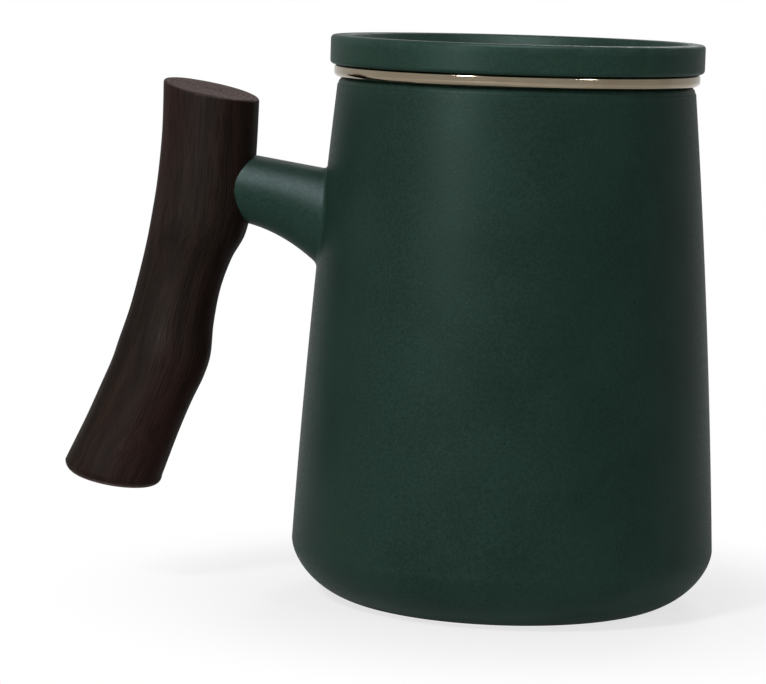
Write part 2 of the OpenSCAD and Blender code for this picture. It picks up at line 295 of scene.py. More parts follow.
def woodFibreGroup():
    # a debarked branch in its own straightened coordinates, with Z along it: long streaks, fine
    # pores, growth rings round the pith and rays across the sawn ends
    group, start = newGroup("woodFibre", {"Vector": None, "Ring Pitch": 0.0013, "Streak Scale": 420.0})
    here = start["Vector"]
    stretch, waver, rayScale = 0.055, 0.0022, 26.0
    drawn = addNode(group, "Mapping", {"Vector": here, "Scale": (1, 1, stretch)}).outputs[0]
    warp = noise(group, here, 60.0, 2.0, output="Color")
    place = vectorCalc(group, "ADD", drawn, vectorCalc(group, "MULTIPLY", warp, (waver, waver, 0.0)))
    streak = noise(group, place, start["Streak Scale"], 5.0, 0.62)
    pore = noise(group, place, times(group, start["Streak Scale"], 6.0), 2.0)
    apart = apartXYZ(group, here)
    wobble = noise(group, here, 140.0, 3.0)
    reach = vectorCalc(group, "LENGTH", fromXYZ(group, apart["X"], apart["Y"]), output="Value")
    reach = plus(group, reach, times(group, wobble, waver))
    ring = calc(group, "FRACT", calc(group, "DIVIDE", reach, start["Ring Pitch"]))
    turn = calc(group, "ARCTAN2", apart["Y"], apart["X"])
    spokes = [times(group, calc(group, kind, turn), rayScale) for kind in ("COSINE", "SINE")]
    ray = noise(group, fromXYZ(group, *spokes, times(group, reach, 60.0)), 1.0, 2.0)
    return closeGroup(group, {"Streak": between(group, streak, 0.3, 0.72),
                              "Pore": between(group, pore, 0.36, 0.62),
                              "Ring": between(group, ring, 0.0, 0.85),
                              "Ray": between(group, ray, 0.42, 0.66)})


stoneGrain, edgeWear = stoneGrainGroup(), edgeWearGroup()
turnedMetal, woodFibre = turnedMetalGroup(), woodFibreGroup()


# Materials; depths are in metres.

def newMaterial(name, **plain):
    # a material with a bare Principled shader; plain values go on its own sockets
    material = bpy.data.materials.new(name)
    material.use_nodes = True
    tree = material.node_tree
    tree.nodes.clear()
    shader = addNode(tree, "BsdfPrincipled")
    for key, value in plain.items():
        shader.inputs[key.replace("_", " ")].default_value = value
    addNode(tree, "OutputMaterial", {"Surface": shader.outputs[0]})
    return material, tree, shader


def attribute(tree, name, output="Fac"):
    return addNode(tree, "Attribute", attribute_name=name).outputs[output]


def objectPlace(tree):
    return addNode(tree, "TexCoord").outputs["Object"]


def dress(tree, shader, colour, rough, height, depth, strength):
    # what changes over the surface: colour, roughness, and a height as a bump of that depth
    bump = addNode(tree, "Bump", {"Height": height, "Distance": depth, "Strength": strength}).outputs[0]
    for key, value in (("Base Color", colour), ("Roughness", rough), ("Normal", bump)):
        tree.links.new(value, shader.inputs[key])


glaze = {
    "deep": (0.0096, 0.0240, 0.0178),
    "light": (0.0164, 0.0400, 0.0294),
    "thinGlazeAndHighlight": (0.030, 0.060, 0.048),   # where the glaze draws back from an edge; on the lid's raised rim it is also a painted highlight
    "speck": (0.003, 0.009, 0.007),   # in a pinhole
    "clay": (0.46, 0.40, 0.33),   # bare clay under the foot and the lid's skirt
    "gloss": 0.055,
    "gleam": (0.72, 1.0, 0.95),   # tint of the gloss on mug and lid
    "stubGleam": (0.76, 0.96, 1.0),
    "roughness": (0.41, 0.51),   # from low to high grain
    "innerGloss": 0.1,   # how much smoother the glaze is inside the mug
    "clayRoughness": 0.9,
    "grainDepth": 0.00005,
    "bareWander": 0.00025,   # how far the glaze's lower edge wanders, and how wide it fades
    "bareFade": 0.00012,
}


def glazeMaterial(name, edgeAmount, paintedLightLevel=1.0, bareBelow=None, gleam=glaze["gleam"]):
    # matte stoneware glaze; below the height bareBelow, in metres, the clay is bare
    material, tree, shader = newMaterial(name, Specular_IOR_Level=glaze["gloss"], IOR=1.5,
                                         Specular_Tint=(*gleam, 1.0))
    place = objectPlace(tree)
    grain = useGroup(tree, stoneGrain, {"Vector": place})
    worn = useGroup(tree, edgeWear, {"Vector": place, "Edge": attribute(tree, "edge"), "Amount": edgeAmount})
    tone = plus(tree, times(tree, grain["Blotch"], 0.45), times(tree, grain["Grain"], 0.55))
    # paintedLightLevel scales the glaze's colours: below 1 it is painted shade, above 1 painted light
    deep, light = (tuple(paintedLightLevel * c for c in glaze[key]) for key in ("deep", "light"))
    colour = blend(tree, tone, deep, light)
    colour = blend(tree, times(tree, grain["Pinhole"], 0.8), colour, glaze["speck"])
    # edges take the paler thin-glaze colour; on the lid's raised rim this is also a painted highlight
    colour = blend(tree, worn["Mask"], colour, glaze["thinGlazeAndHighlight"])
    rough = between(tree, grain["Grain"], 0.0, 1.0, *glaze["roughness"])
    rough = calc(tree, "SUBTRACT", rough, times(tree, attribute(tree, "inside"), glaze["innerGloss"]))
    if bareBelow is not None:
        wander = times(tree, grain["Blotch"], glaze["bareWander"])
        height = plus(tree, apartXYZ(tree, place)["Z"], wander)
        bare = between(tree, height, bareBelow, bareBelow + glaze["bareFade"], 1.0, 0.0)
        clay = blend(tree, grain["Grain"], tuple(0.8 * c for c in glaze["clay"]), glaze["clay"])
        colour = blend(tree, bare, colour, clay)
        rough = calc(tree, "MAXIMUM", rough, times(tree, bare, glaze["clayRoughness"]))
    dress(tree, shader, colour, rough, grain["Height"], glaze["grainDepth"], 0.6)
    return material


wood = {
    "dark": (0.0072, 0.0044, 0.0035),
    "brown": (0.0200, 0.0124, 0.0091),
    "red": (0.0232, 0.0096, 0.0078),
    "sawn": (0.124, 0.088, 0.082),
    "gloss": 0.03,
    "roughness": (0.58, 0.44),   # from dark to light streaks
    "sawnRoughness": 0.2,   # how much rougher the sawn ends are
    "edgeAmount": 0.35,
    "grainDepth": 0.00009,
}


def woodMaterial(name):
    # oiled dark wood: streaks along the branch, and rings with fine rays on its sawn ends
    material, tree, shader = newMaterial(name, Specular_IOR_Level=wood["gloss"])
    place = attribute(tree, "straight", "Vector")
    sawn = attribute(tree, "sawn")
    fibre = useGroup(tree, woodFibre, {"Vector": place})
    worn = useGroup(tree, edgeWear, {"Vector": place, "Edge": attribute(tree, "edge"),
                                     "Amount": wood["edgeAmount"], "Breakup Scale": 400.0})
    drawn = addNode(tree, "Mapping", {"Vector": place, "Scale": (1, 1, 0.3)}).outputs[0]
    patch = between(tree, noise(tree, drawn, 75.0, 3.0), 0.42, 0.7, 0.0, 0.7)
    side = blend(tree, fibre["Streak"], wood["dark"], wood["brown"])
    side = blend(tree, patch, side, wood["red"])
    side = blend(tree, between(tree, fibre["Pore"], 0.0, 0.35, 0.55, 0.0), side, wood["dark"])
    endGrain = blend(tree, times(tree, fibre["Ring"], 0.55), wood["sawn"], wood["brown"])
    endGrain = blend(tree, times(tree, fibre["Ray"], 0.3), endGrain, wood["dark"])
    colour = blend(tree, sawn, side, endGrain)
    colour = blend(tree, worn["Mask"], colour, wood["sawn"])
    rough = between(tree, fibre["Streak"], 0.0, 1.0, *wood["roughness"])
    rough = plus(tree, rough, times(tree, sawn, wood["sawnRoughness"]))
    sideHeight = plus(tree, fibre["Streak"], times(tree, fibre["Pore"], 0.7))
    endHeight = plus(tree, fibre["Ring"], fibre["Ray"])
    height = addNode(tree, "Mix", {0: sawn, 2: sideHeight, 3: endHeight}).outputs[0]
    dress(tree, shader, colour, rough, height, wood["grainDepth"], 0.7)
    return material


metals = {   # dark tone, light tone, roughness, and how deep the turned lines are
    # the rim's tones are darker and warmer than the steel itself: a painted reflection of a dim, warm room
    "polishedSteelPaintedRoom": ((0.260, 0.210, 0.147), (0.344, 0.290, 0.209), 0.085, 0.000004),
    "satinSteelWall": ((0.46, 0.44, 0.40), (0.60, 0.58, 0.54), 0.27, 0.00001),
    "satinSteelBase": ((0.46, 0.44, 0.40), (0.60, 0.58, 0.54), 0.27, 0.00001),
    "threadedSteel": ((0.42, 0.42, 0.41), (0.58, 0.58, 0.57), 0.3, 0.00001),
    "turnedBrass": ((0.50, 0.35, 0.15), (0.66, 0.48, 0.22), 0.28, 0.00001),
}


def metalMaterial(name):
    # turned or drawn metal: fine lines round the axis over a slow smudge
    dark, light, roughness, lineDepth = metals[name]
    material, tree, shader = newMaterial(name, Metallic=1.0)
    marks = useGroup(tree, turnedMetal, {"Vector": objectPlace(tree)})
    tone = plus(tree, times(tree, marks["Line"], 0.5), times(tree, marks["Smudge"], 0.5))
    rough = plus(tree, between(tree, marks["Smudge"], 0.0, 1.0, roughness * 0.8, roughness * 1.25),
                 times(tree, marks["Line"], roughness * 0.3))
    dress(tree, shader, blend(tree, tone, dark, light), rough, marks["Line"], lineDepth, 0.6)
    return material


def rubberMaterial(name, dark=(0.020, 0.020, 0.020), light=(0.040, 0.040, 0.039), grainDepth=0.00004):
    # soft moulded rubber with a fine even grain
    material, tree, shader = newMaterial(name, Specular_IOR_Level=0.35)
    grain = useGroup(tree, stoneGrain, {"Vector": objectPlace(tree), "Grain Scale": 2600.0})
    rough = between(tree, grain["Grain"], 0.0, 1.0, 0.6, 0.8)
    colour = blend(tree, grain["Blotch"], dark, light)
    dress(tree, shader, colour, rough, grain["Height"], grainDepth, 0.5)
    return material


# one glaze in lit and shaded copies: the mug's body darkened by painted shade, the lid lightened by painted
# light
mugGlaze = glazeMaterial("matteGlazeMug", edgeAmount=0.2, paintedLightLevel=0.76, bareBelow=0.0002)
stubGlaze = glazeMaterial("matteGlazeStub", edgeAmount=0.0, gleam=glaze["stubGleam"])
# the lid's high edgeAmount paints a highlight on its raised rim, over the thinned glaze there
lidGlaze = glazeMaterial("matteGlazeLid", edgeAmount=0.6, paintedLightLevel=1.03, bareBelow=0.1133)
darkWood = woodMaterial("darkBranchWood")
rimSteel, wallSteel, baseSteel, studSteel, insertBrass = [metalMaterial(name) for name in metals]
washerRubber = rubberMaterial("softWasher")
print("materials ready")


# The mug.

mug = {
    "height": 117.3, "mouthRadius": 40.0, "bellyRadius": 47.7, "bellyHeight": 12.7,
    "cornerPower": 1.7, "sideBow": 0.65, "footRadius": 33.4, "footRingWidth": 5.0, "footRecess": 1.6,
    "footFillet": 0.8, "footRound": 0.5, "wall": 4.2, "floor": 6.0, "rimRound": 1.7, "innerRound": 9.0,
}


def outerRadius(z):
    # radius of the side at height z: a straight cone from belly to mouth, bowed out by a parabola
    u = (z - mug["bellyHeight"]) / (mug["height"] - mug["bellyHeight"])
    cone = mug["bellyRadius"] + (mug["mouthRadius"] - mug["bellyRadius"]) * u
    return cone + mug["sideBow"] * 4 * u * (1 - u)


def mugProfile():
    # foot ring, superellipse corner, side, rounded rim, then the inside down to the floor's centre;
    # also 0 for each point of the outside and 1 for the inside
    top, belly, foot, inset, r = [mug[k] for k in ("height", "bellyHeight", "footRadius", "wall", "rimRound")]
    recess, fillet, footRound = [mug[k] for k in ("footRecess", "footFillet", "footRound")]
    a = np.radians(np.linspace(4, 90, 44))
    power = 2 / mug["cornerPower"]
    corner = np.stack([foot + (mug["bellyRadius"] - foot) * np.sin(a) ** power,
                       belly * (1 - np.cos(a) ** power)], 1)
    z = np.linspace(belly + 2, top - r, 70)
    floorTop, innerRound = mug["floor"], mug["innerRound"]
    inner = np.linspace(top - 2 * r, floorTop + innerRound, 60)
    ringIn = foot - mug["footRingWidth"]
    mouth, mouthIn = mug["mouthRadius"], mug["mouthRadius"] - inset
    cornerX = outerRadius(floorTop + innerRound) - inset - innerRound
    outside = joined(
        run([0, recess], [ringIn - fillet, recess], 3),
        arc([ringIn - fillet, recess - fillet], fillet, 90, 0, 6),
        arc([ringIn + footRound, footRound], footRound, 180, 270, 6),
        run([ringIn + footRound, 0], [foot, 0], 1),
        corner, np.stack([outerRadius(z), z], 1),
        arc([mouth - r, top - r], r, 0, 90, 14))
    inside = joined(
        arc([mouthIn + r, top - r], r, 90, 180, 14),
        np.stack([outerRadius(inner) - inset, inner], 1),
        arc([cornerX, floorTop + innerRound], innerRound, 0, -90, 16),
        run([cornerX, floorTop], [0, floorTop], 3))
    line = joined(outside, inside)
    return line, (np.arange(len(line)) >= len(outside)).astype(float)


mugLine, mugInside = mugProfile()
mugShell = lathe("mugShell", mugLine, marks={"inside": mugInside})
settle(mugShell, "mug", "mug_body", mugGlaze)


# The handle's joint and the stub. Distances along the stub run from the joint into the mug.

joint = {"drop": 26.1, "reach": 16.6, "tilt": 10.0, "tenonRadius": 7.7, "shoulder": 0.2,
         "socketDepth": 6.3, "washer": 1.0, "insertBore": 4.05, "insertLength": 14.0,
         "studBore": 2.55, "studInWood": 11.0, "clearance": 0.05}
stub = {"up": 0.02, "down": 0.03, "downFlare": 0.0165, "across": 0.03, "acrossFlare": 0.003,
        "filletIn": 0.9, "filletOut": 1.1, "boreRound": 0.3, "endRound": 0.4,
        "sunk": (-0.015, -0.8, -1.6),   # where the fillet, the root and its core end in the wall
        "columns": 112, "rings": 46}
jointHeight = mug["height"] - joint["drop"]
jointCentre = np.array([-(outerRadius(jointHeight) + joint["reach"]), 0, jointHeight])
tilt = math.radians(joint["tilt"])
inward = np.array([math.cos(tilt), 0, -math.sin(tilt)])   # along the stub, into the mug
upward = np.array([math.sin(tilt), 0, math.cos(tilt)])
tenonEnd = -(joint["socketDepth"] - joint["washer"])


def onStub(s, a, up, down, across):
    # a point on the stub at distance s along it and angle a from its underside; its section is an
    # ellipse through up above and down below the axis, across to each side
    middle, half = (down - up) / 2, (down + up) / 2
    low = middle + half * np.cos(a)
    return (jointCentre + np.multiply.outer(s, inward) - np.multiply.outer(low, upward)
            + np.multiply.outer(across * np.sin(a), np.array([0, 1.0, 0])))


def stubSurface(s, a):
    # round in the socket, and from the grip's face on it flares towards the mug
    out = np.maximum(s, 0)
    base = joint["tenonRadius"] + 0 * a
    return onStub(s + 0 * a, a, base + stub["up"] * out,
                  base + stub["down"] * out + stub["downFlare"] * out**2,
                  base + stub["across"] * out + stub["acrossFlare"] * out**2)


def ontoWall(points, lift):
    # points moved level until they lie lift millimetres outside the mug's side
    scale = (outerRadius(points[:, 2]) + lift) / np.hypot(points[:, 0], points[:, 1])
    return np.column_stack([points[:, :2] * scale[:, None], points[:, 2]])


def stubSeam(a, nearest=8.0, furthest=26.0, halvings=40):
    # the distance at which each line of the flare meets the mug's side, found by halving
    near, far = np.full(len(a), nearest), np.full(len(a), furthest)
    for _ in range(halvings):
        middle = (near + far) / 2
        x, y, z = stubSurface(middle, a).T
        outside = np.hypot(x, y) > outerRadius(z)
        near, far = np.where(outside, middle, near), np.where(outside, far, middle)
    return near


def makeStub():
    # bored tenon, flare, and a small fillet where the clay was joined, which ends inside the wall
    columns = stub["columns"]
    a = allRound(columns)
    seam = stubSeam(a)
    bore, tip = joint["insertBore"], joint["tenonRadius"] - joint["shoulder"]
    boreEnd = tenonEnd + joint["insertLength"] + 2 * joint["clearance"]
    inner, outer = stub["boreRound"], stub["endRound"]
    filletSunk, rootSunk, coreSunk = stub["sunk"]
    circles = [(boreEnd, bore / 2)]
    circles += [(s, bore) for s in np.linspace(boreEnd, tenonEnd + inner, 8)]
    circles += [(tenonEnd, bore + inner), (tenonEnd, (bore + tip) / 2), (tenonEnd, tip - outer)]
    circles += [(tenonEnd + 0.3 * outer, tip - 0.3 * outer)]
    circles += [(tenonEnd + outer, tip), (tenonEnd + 2 * outer, tip)]
    rows = [onStub(np.full(columns, s), a, r, r, r) for s, r in circles]
    first = tenonEnd + 1.0
    flareLength = seam - stub["filletIn"] - first
    rows += [stubSurface(first + flareLength * t, a) for t in np.linspace(0, 1, stub["rings"])]
    corner = stubSurface(seam, a)
    start = rows[-1]
    centre = corner.mean(0)
    outwards = corner * [1, 1, 0]
    outwards /= np.linalg.norm(outwards, axis=1)[:, None]
    away = corner - centre
    away -= (away * outwards).sum(1)[:, None] * outwards
    away /= np.linalg.norm(away, axis=1)[:, None]
    end = ontoWall(corner + away * stub["filletOut"], filletSunk)
    for t in np.linspace(0, 1, 9)[1:]:   # a quadratic curve from flare to wall round the seam
        rows.append(start * (1 - t) ** 2 + corner * 2 * t * (1 - t) + end * t**2)
    rows.append(ontoWall(end, rootSunk))
    rows.append(ontoWall((centre + end) / 2, coreSunk))
    startPole, endPole = jointCentre + inward * boreEnd, ontoWall(centre[None], coreSunk)[0]
    return skin("stubHorn", np.stack(rows), startPole, endPole)


stubHorn = makeStub()
settle(stubHorn, "mug", "handle_stub", stubGlaze)


# The grip, a branch.

grip = {"up": 21.65, "down": 64.4, "depth": 21.6, "lean": 19.3, "set": 0.25, "flat": 0.97,
        "topRound": 0.7, "endRound": 2.2, "lobesEnd": 0.12, "rings": 200, "columns": 144,
        "topSlope": (-0.185, 0.088), "endSlope": (-0.15, 0.088)}
# from top to bottom: height above or below the joint, how far the section leans out, its depth
gripShape = np.array([
    [1, -0.048, 1], [0.5, -0.036, 0.988], [0, 0, 0.998], [-0.127, 0.065, 0.984],
    [-0.22, 0.166, 0.896], [-0.33, 0.264, 0.859], [-0.453, 0.347, 0.887], [-0.562, 0.418, 0.963],
    [-0.64, 0.498, 0.968], [-0.733, 0.633, 0.958], [-0.842, 0.783, 0.968], [-1, 1, 1.023]])
# low lobes: height in millimetres, how many go round, twist down the branch, start
gripLobes = [(0.08, 3, 5, 0.6), (0.05, 5, -8, 2.0), (0.05, 2, 9, 0.0), (0.03, 9, 6, 0.0)]
gripRows = np.stack([gripShape[:, 0] * np.where(gripShape[:, 0] > 0, grip["up"], grip["down"]),
                     grip["depth"] / 2 - grip["set"] + grip["lean"] * gripShape[:, 1],
                     grip["depth"] / 2 * gripShape[:, 2]], 1)
lastRow = len(gripRows) - 1


def alongGrip(u):
    # a smooth curve through rows that u counts: height, distance behind the joint, half depth
    u = np.atleast_1d(np.asarray(u, float))
    k = np.minimum(np.floor(u).astype(int), lastRow - 1)
    t = (u - k)[:, None]
    p0, p1 = gripRows[np.maximum(k - 1, 0)], gripRows[k]
    p2, p3 = gripRows[k + 1], gripRows[np.minimum(k + 2, lastRow)]
    return (p1 + (p2 - p0) * t / 2 + (2 * p0 - 5 * p1 + 4 * p2 - p3) * t**2 / 2
            + (3 * p1 - p0 - 3 * p2 + p3) * t**3 / 2)


def gripSlope(share):
    # how a section's plane rises along X and Y; share runs from the top end to the lower one
    return np.array(grip["topSlope"]) * (1 - share) + np.array(grip["endSlope"]) * share


def gripRing(u, inset=0.0, shift=0.0):
    # sections u of the branch: ellipses whose planes slope as the sawn ends do, with low lobes
    # that run along it and die out at its lower end
    row, share = alongGrip(u), np.atleast_1d(u)[:, None] / lastRow
    a = allRound(grip["columns"])
    slope = gripSlope(share)
    lobes = sum(h * np.sin(count * a + twist * share + start) for h, count, twist, start in gripLobes)
    lobes = lobes * np.clip((1 - share) / grip["lobesEnd"], 0, 1)
    half = row[:, 2:]
    x = (half - inset + lobes) * np.cos(a)
    y = (half * grip["flat"] - inset + lobes) * np.sin(a)
    z = jointCentre[2] + row[:, :1] + shift + slope[:, :1] * x + slope[:, 1:] * y
    return np.stack([jointCentre[0] - row[:, 1:2] + x, y, z], -1)


def straightened(points, samples=600, repeats=8):
    # a point's own section is found by repeating: height less what the section's slope adds there;
    # gives (across X, across Y, distance along) in metres, how far past the ends it lies as a share
    # of their rounding, and how far from the pith as a share of the section
    table = alongGrip(np.linspace(0, lastRow, samples))[::-1]
    share = np.linspace(1, 0, samples)
    length = np.concatenate([[0], np.cumsum(np.hypot(np.diff(table[:, 0]), np.diff(table[:, 1])))])
    height = points[:, 2] - jointCentre[2]
    for _ in range(repeats):
        middle = np.interp(height, table[:, 0], table[:, 1])
        slope = gripSlope(np.interp(height, table[:, 0], share)[:, None])
        x, y = points[:, 0] - jointCentre[0] + middle, points[:, 1]
        height = points[:, 2] - jointCentre[2] - slope[:, 0] * x - slope[:, 1] * y
    half = np.interp(height, table[:, 0], table[:, 2])
    pastTop = np.maximum(height - table[-1, 0], 0) / grip["topRound"]
    pastEnd = np.maximum(table[0, 0] - height, 0) / grip["endRound"]
    along = np.interp(height, table[:, 0], length)
    return np.stack([x, y, along], 1) * mm, pastTop + pastEnd, np.hypot(x, y / grip["flat"]) / half


def roundedEnd(u, radius, turns, way):
    # a quarter round at an end of the branch; way is 1 upwards and -1 downwards
    return [gripRing(u, radius * (1 - math.cos(t)), way * radius * math.sin(t)) for t in turns]


def boreGrip(branch):
    # the socket and the stud's hole, cut by a turned cutter on the joint's axis
    socket, r = joint["socketDepth"], joint["tenonRadius"] + joint["clearance"]
    drill = -socket - joint["studInWood"] - joint["clearance"]
    line = np.array([[0, drill], [joint["studBore"], drill], [joint["studBore"], -socket],
                     [r, -socket], [r, 2 * socket], [0, 2 * socket]])
    cutter = lathe("cutter", line, 96)
    place = np.eye(4)
    place[:3, :3], place[:3, 3] = np.stack([-upward, [0, 1, 0], inward], 1), jointCentre * mm
    cutter.data.transform(Matrix(place.tolist()))
    cut = branch.modifiers.new("bore", "BOOLEAN")
    cut.operation, cut.solver, cut.object = "DIFFERENCE", "EXACT", cutter
    made = bpy.data.meshes.new_from_object(branch.evaluated_get(bpy.context.evaluated_depsgraph_get()))
    branch.modifiers.clear()
    branch.data = made
    bpy.data.objects.remove(cutter)


def makeGrip():
    # sawn end, rounded edge, sides, rounded edge and sawn end as one grid, then bored for the joint
    turns = np.radians(np.linspace(90, 0, 9)[:-1])
    bottom = roundedEnd(lastRow, grip["endRound"], turns, -1)
    top = roundedEnd(0, grip["topRound"], turns[::-1], 1)
    sides = gripRing(np.linspace(lastRow, 0, grip["rings"]))
    lowCentre, highCentre = bottom[0].mean(1), top[-1].mean(1)
    inner = np.linspace(0, 1, 13)[1:-1]
    lowCap = [lowCentre + (bottom[0] - lowCentre) * t for t in inner]
    highCap = [highCentre + (top[-1] - highCentre) * t for t in inner[::-1]]
    grid = np.concatenate([*lowCap, *bottom, sides, *top, *highCap])
    branch = skin("gripBranch", grid, lowCentre[0], highCentre[0])
    boreGrip(branch)
    points = np.zeros(len(branch.data.vertices) * 3)
    branch.data.vertices.foreach_get("co", points)
    straight, past, share = straightened(points.reshape(-1, 3) / mm)
    bored = (share < 0.94) & (past < 0.4)
    sawn = np.maximum(np.clip((past - 0.45) * 3, 0, 1), bored)
    edge = np.clip(1 - np.abs(past - 0.6) * 2, 0, 1)
    finishMesh(branch.data, {"straight": straight, "sawn": sawn, "edge": edge})
    return branch


gripBranch = makeGrip()
settle(gripBranch, "mug", "handle_grip", darkWood)


# The lid.

lid = {"radius": 41.9, "height": 6.5, "round": 0.9, "trayDepth": 3.3, "rimWidth": 4.3,
       "trayRound": 1.5, "trayLean": 35.0, "skirtRadius": 33.4, "skirtHeight": 7.0,
       "skirtThickness": 3.0, "innerFillet": 0.8, "outerFillet": 0.5}
lipHeight = 2.8   # from the mug's rim to the top of the infuser's lip
lidSeat = mug["height"] + lipHeight


def lidProfile():
    # underside, skirt, the disc's side, its raised rim and the tray's floor
    top, r, edge = lidSeat + lid["height"], lid["round"], lid["radius"]
    skirtOut, skirtIn = lid["skirtRadius"], lid["skirtRadius"] - lid["skirtThickness"]
    skirtEnd, tray = lidSeat - lid["skirtHeight"], lid["radius"] - lid["rimWidth"]
    inner, outer = lid["innerFillet"], lid["outerFillet"]
    trayFloor, hollow = top - lid["trayDepth"], lid["trayRound"]
    lean = math.radians(lid["trayLean"])   # how far the tray's wall leans out from upright
    fall = lid["trayDepth"] - (r + hollow) * (1 - math.sin(lean))   # its straight part's height
    floorEdge = tray + r - (r + hollow) * math.cos(lean) - fall * math.tan(lean)
    return joined(
        run([0, lidSeat], [skirtIn - inner, lidSeat], 3),
        arc([skirtIn - inner, lidSeat - inner], inner, 90, 0, 6),
        arc([skirtIn + r, skirtEnd + r], r, 180, 270, 8),
        arc([skirtOut - r, skirtEnd + r], r, 270, 360, 8),
        arc([skirtOut + outer, lidSeat - outer], outer, 180, 90, 5),
        run([skirtOut + outer, lidSeat], [edge - r, lidSeat], 2),
        arc([edge - r, lidSeat + r], r, -90, 0, 12),
        run([edge, lidSeat + r], [edge, top - r], 1),
        arc([edge - r, top - r], r, 0, 90, 12),
        arc([tray + r, top - r], r, 90, 180 - lid["trayLean"], 12),
        arc([floorEdge, trayFloor + hollow], hollow, -lid["trayLean"], -90, 10),
        run([floorEdge, trayFloor], [0, trayFloor], 3))


lidLine = lidProfile()
lidRimWearAndHighlight = edgeShare(lidLine) * (lidLine[:, 1] > lidSeat + lid["height"] / 2)   # on the raised rim alone: thinned glaze, and a painted highlight where the rim catches the light
lidDisc = lathe("lidDisc", lidLine, marks={"edge": lidRimWearAndHighlight})
settle(lidDisc, "lid", "lid", lidGlaze)


# The infuser.

infuser = {"sheet": 0.5, "mesh": 0.4, "lipRadius": 40.95, "lowRound": 1.1, "topRound": 0.8, "hem": 3.4,
           "collarHeight": 9.0, "collarBend": 1.2, "collar": 34.75, "top": 114.3, "depth": 75.0,
           "wallColumns": 90, "holeRadius": 0.62, "holesLow": 47.0, "holesHigh": 105.3,
           "plainLow": 4, "plainHigh": 5, "baseEdge": 3.5, "baseHoles": 27, "baseHoleRadius": 0.6,
           "baseReach": 29.5}
outerMesh = infuser["collar"] - infuser["sheet"] / 2
innerMesh = outerMesh - infuser["mesh"]
basketFloor = mug["height"] - infuser["depth"]


def rimFace(side):
    # one face of the rolled rim's sheet, side +1 outside and -1 inside: up the collar, out over the
    # mug's rim, up round the lip's lower edge, over its upper edge and back along the hem
    sheet, collar, bend = infuser["sheet"] / 2, infuser["collar"], infuser["collarBend"]
    half, inset = side * sheet, sheet - side * sheet
    bottom, top = mug["height"], mug["height"] + lipHeight
    lip, low, high = infuser["lipRadius"], infuser["lowRound"], infuser["topRound"]
    centreHeight = bottom + sheet - bend
    return joined(
        run([collar + half, bottom - infuser["collarHeight"]], [collar + half, centreHeight], 1),
        arc([collar + bend, centreHeight], bend - half, 180, 90, 10),
        run([collar + bend, bottom + inset], [lip - low, bottom + inset], 1),
        arc([lip - low, bottom + low], low - inset, -90, 0, 12),
        run([lip - inset, bottom + low], [lip - inset, top - high], 0.3),
        arc([lip - high, top - high], high - inset, 0, 90, 12),
        run([lip - high, top - inset], [lip - infuser["hem"], top - inset], 1))


rimLine = joined(rimFace(1), rimFace(-1)[::-1])
infuserRim = lathe("infuserRim", rimLine, closeRows=True)
settle(infuserRim, "infuser", "infuser_rim", rimSteel)


def thicken(piece, thickness):
    # the sheet gets its thickness behind the side that its faces show
    solid = piece.modifiers.new("sheet", "SOLIDIFY")
    solid.thickness, solid.offset, solid.use_rim = thickness * mm, -1, True


def makeWall():
    # a staggered pattern of round holes on a cylinder: (R cos(x / R), R sin(x / R), z), as one sheet;
    # a cell's eight points are its corners and the middles of its sides
    n, radius = infuser["wallColumns"], outerMesh
    columns, pitch = 2 * n, 2 * np.pi * radius / n
    low, high, plainLow = infuser["holesLow"], infuser["holesHigh"], infuser["plainLow"]
    holeRows = int((high - low) / (pitch * math.sqrt(3) / 2))
    step = (high - low) / holeRows
    levels = np.concatenate([np.linspace(basketFloor + 0.5, low, plainLow + 1)[:-1],
                             low + step * np.arange(holeRows + 1),
                             np.linspace(high, infuser["top"], infuser["plainHigh"] + 1)[1:]])
    points = np.stack(np.broadcast_arrays(np.arange(columns) * pitch / 2, levels[:, None]), -1).reshape(-1, 2)
    index = np.arange(len(points)).reshape(-1, columns)
    row, cell = np.arange(holeRows)[:, None], np.arange(n)
    line, left = row + plainLow, 2 * cell + row % 2
    middle, right = (left + 1) % columns, (left + 2) % columns
    sides = np.stack([left * pitch / 2, levels[line] + step / 2 + 0 * cell], -1).reshape(-1, 2)
    leftMiddle = index.size + row * n + cell
    rightMiddle = index.size + row * n + (cell + 1) % n
    outline = np.stack([index[line, left], index[line, middle], index[line, right], rightMiddle,
                        index[line + 1, right], index[line + 1, middle], index[line + 1, left],
                        leftMiddle], -1).reshape(-1, 8)
    centre = sides + [pitch / 2, 0]
    holes = centre[:, None] + infuser["holeRadius"] * circle(np.radians(225) + eighths)
    ring = index.size + len(sides) + np.arange(8 * len(sides)).reshape(-1, 8)
    plain = np.r_[:plainLow, plainLow + holeRows:len(levels) - 1]
    x, z = np.concatenate([points, sides, holes.reshape(-1, 2)]).T
    rolled = np.column_stack([radius * circle(x / radius), z])
    faces = np.concatenate([quads(outline, ring), quads(index[plain], index[plain + 1])])
    wall = meshPiece("infuserWall", rolled, faces.tolist())
    thicken(wall, infuser["mesh"])
    return wall


def border(index):
    # the numbers round the edge of a square grid
    return np.concatenate([index[:-1, 0], index[-1, :-1], index[:0:-1, -1], index[0, :0:-1]])


def squareToDisc(p):
    # rings of a square carried to circles: radius is the larger coordinate, and the angle runs
    # evenly along each side
    x, y = p[..., 0], p[..., 1]
    wide = np.abs(x) >= np.abs(y)
    r = np.where(wide, x, y)
    along = np.pi / 4 * np.where(wide, y, x) / np.where(r == 0, 1, r)
    angle = np.where(wide, along, np.pi / 2 - along)
    return r[..., None] * circle(angle)


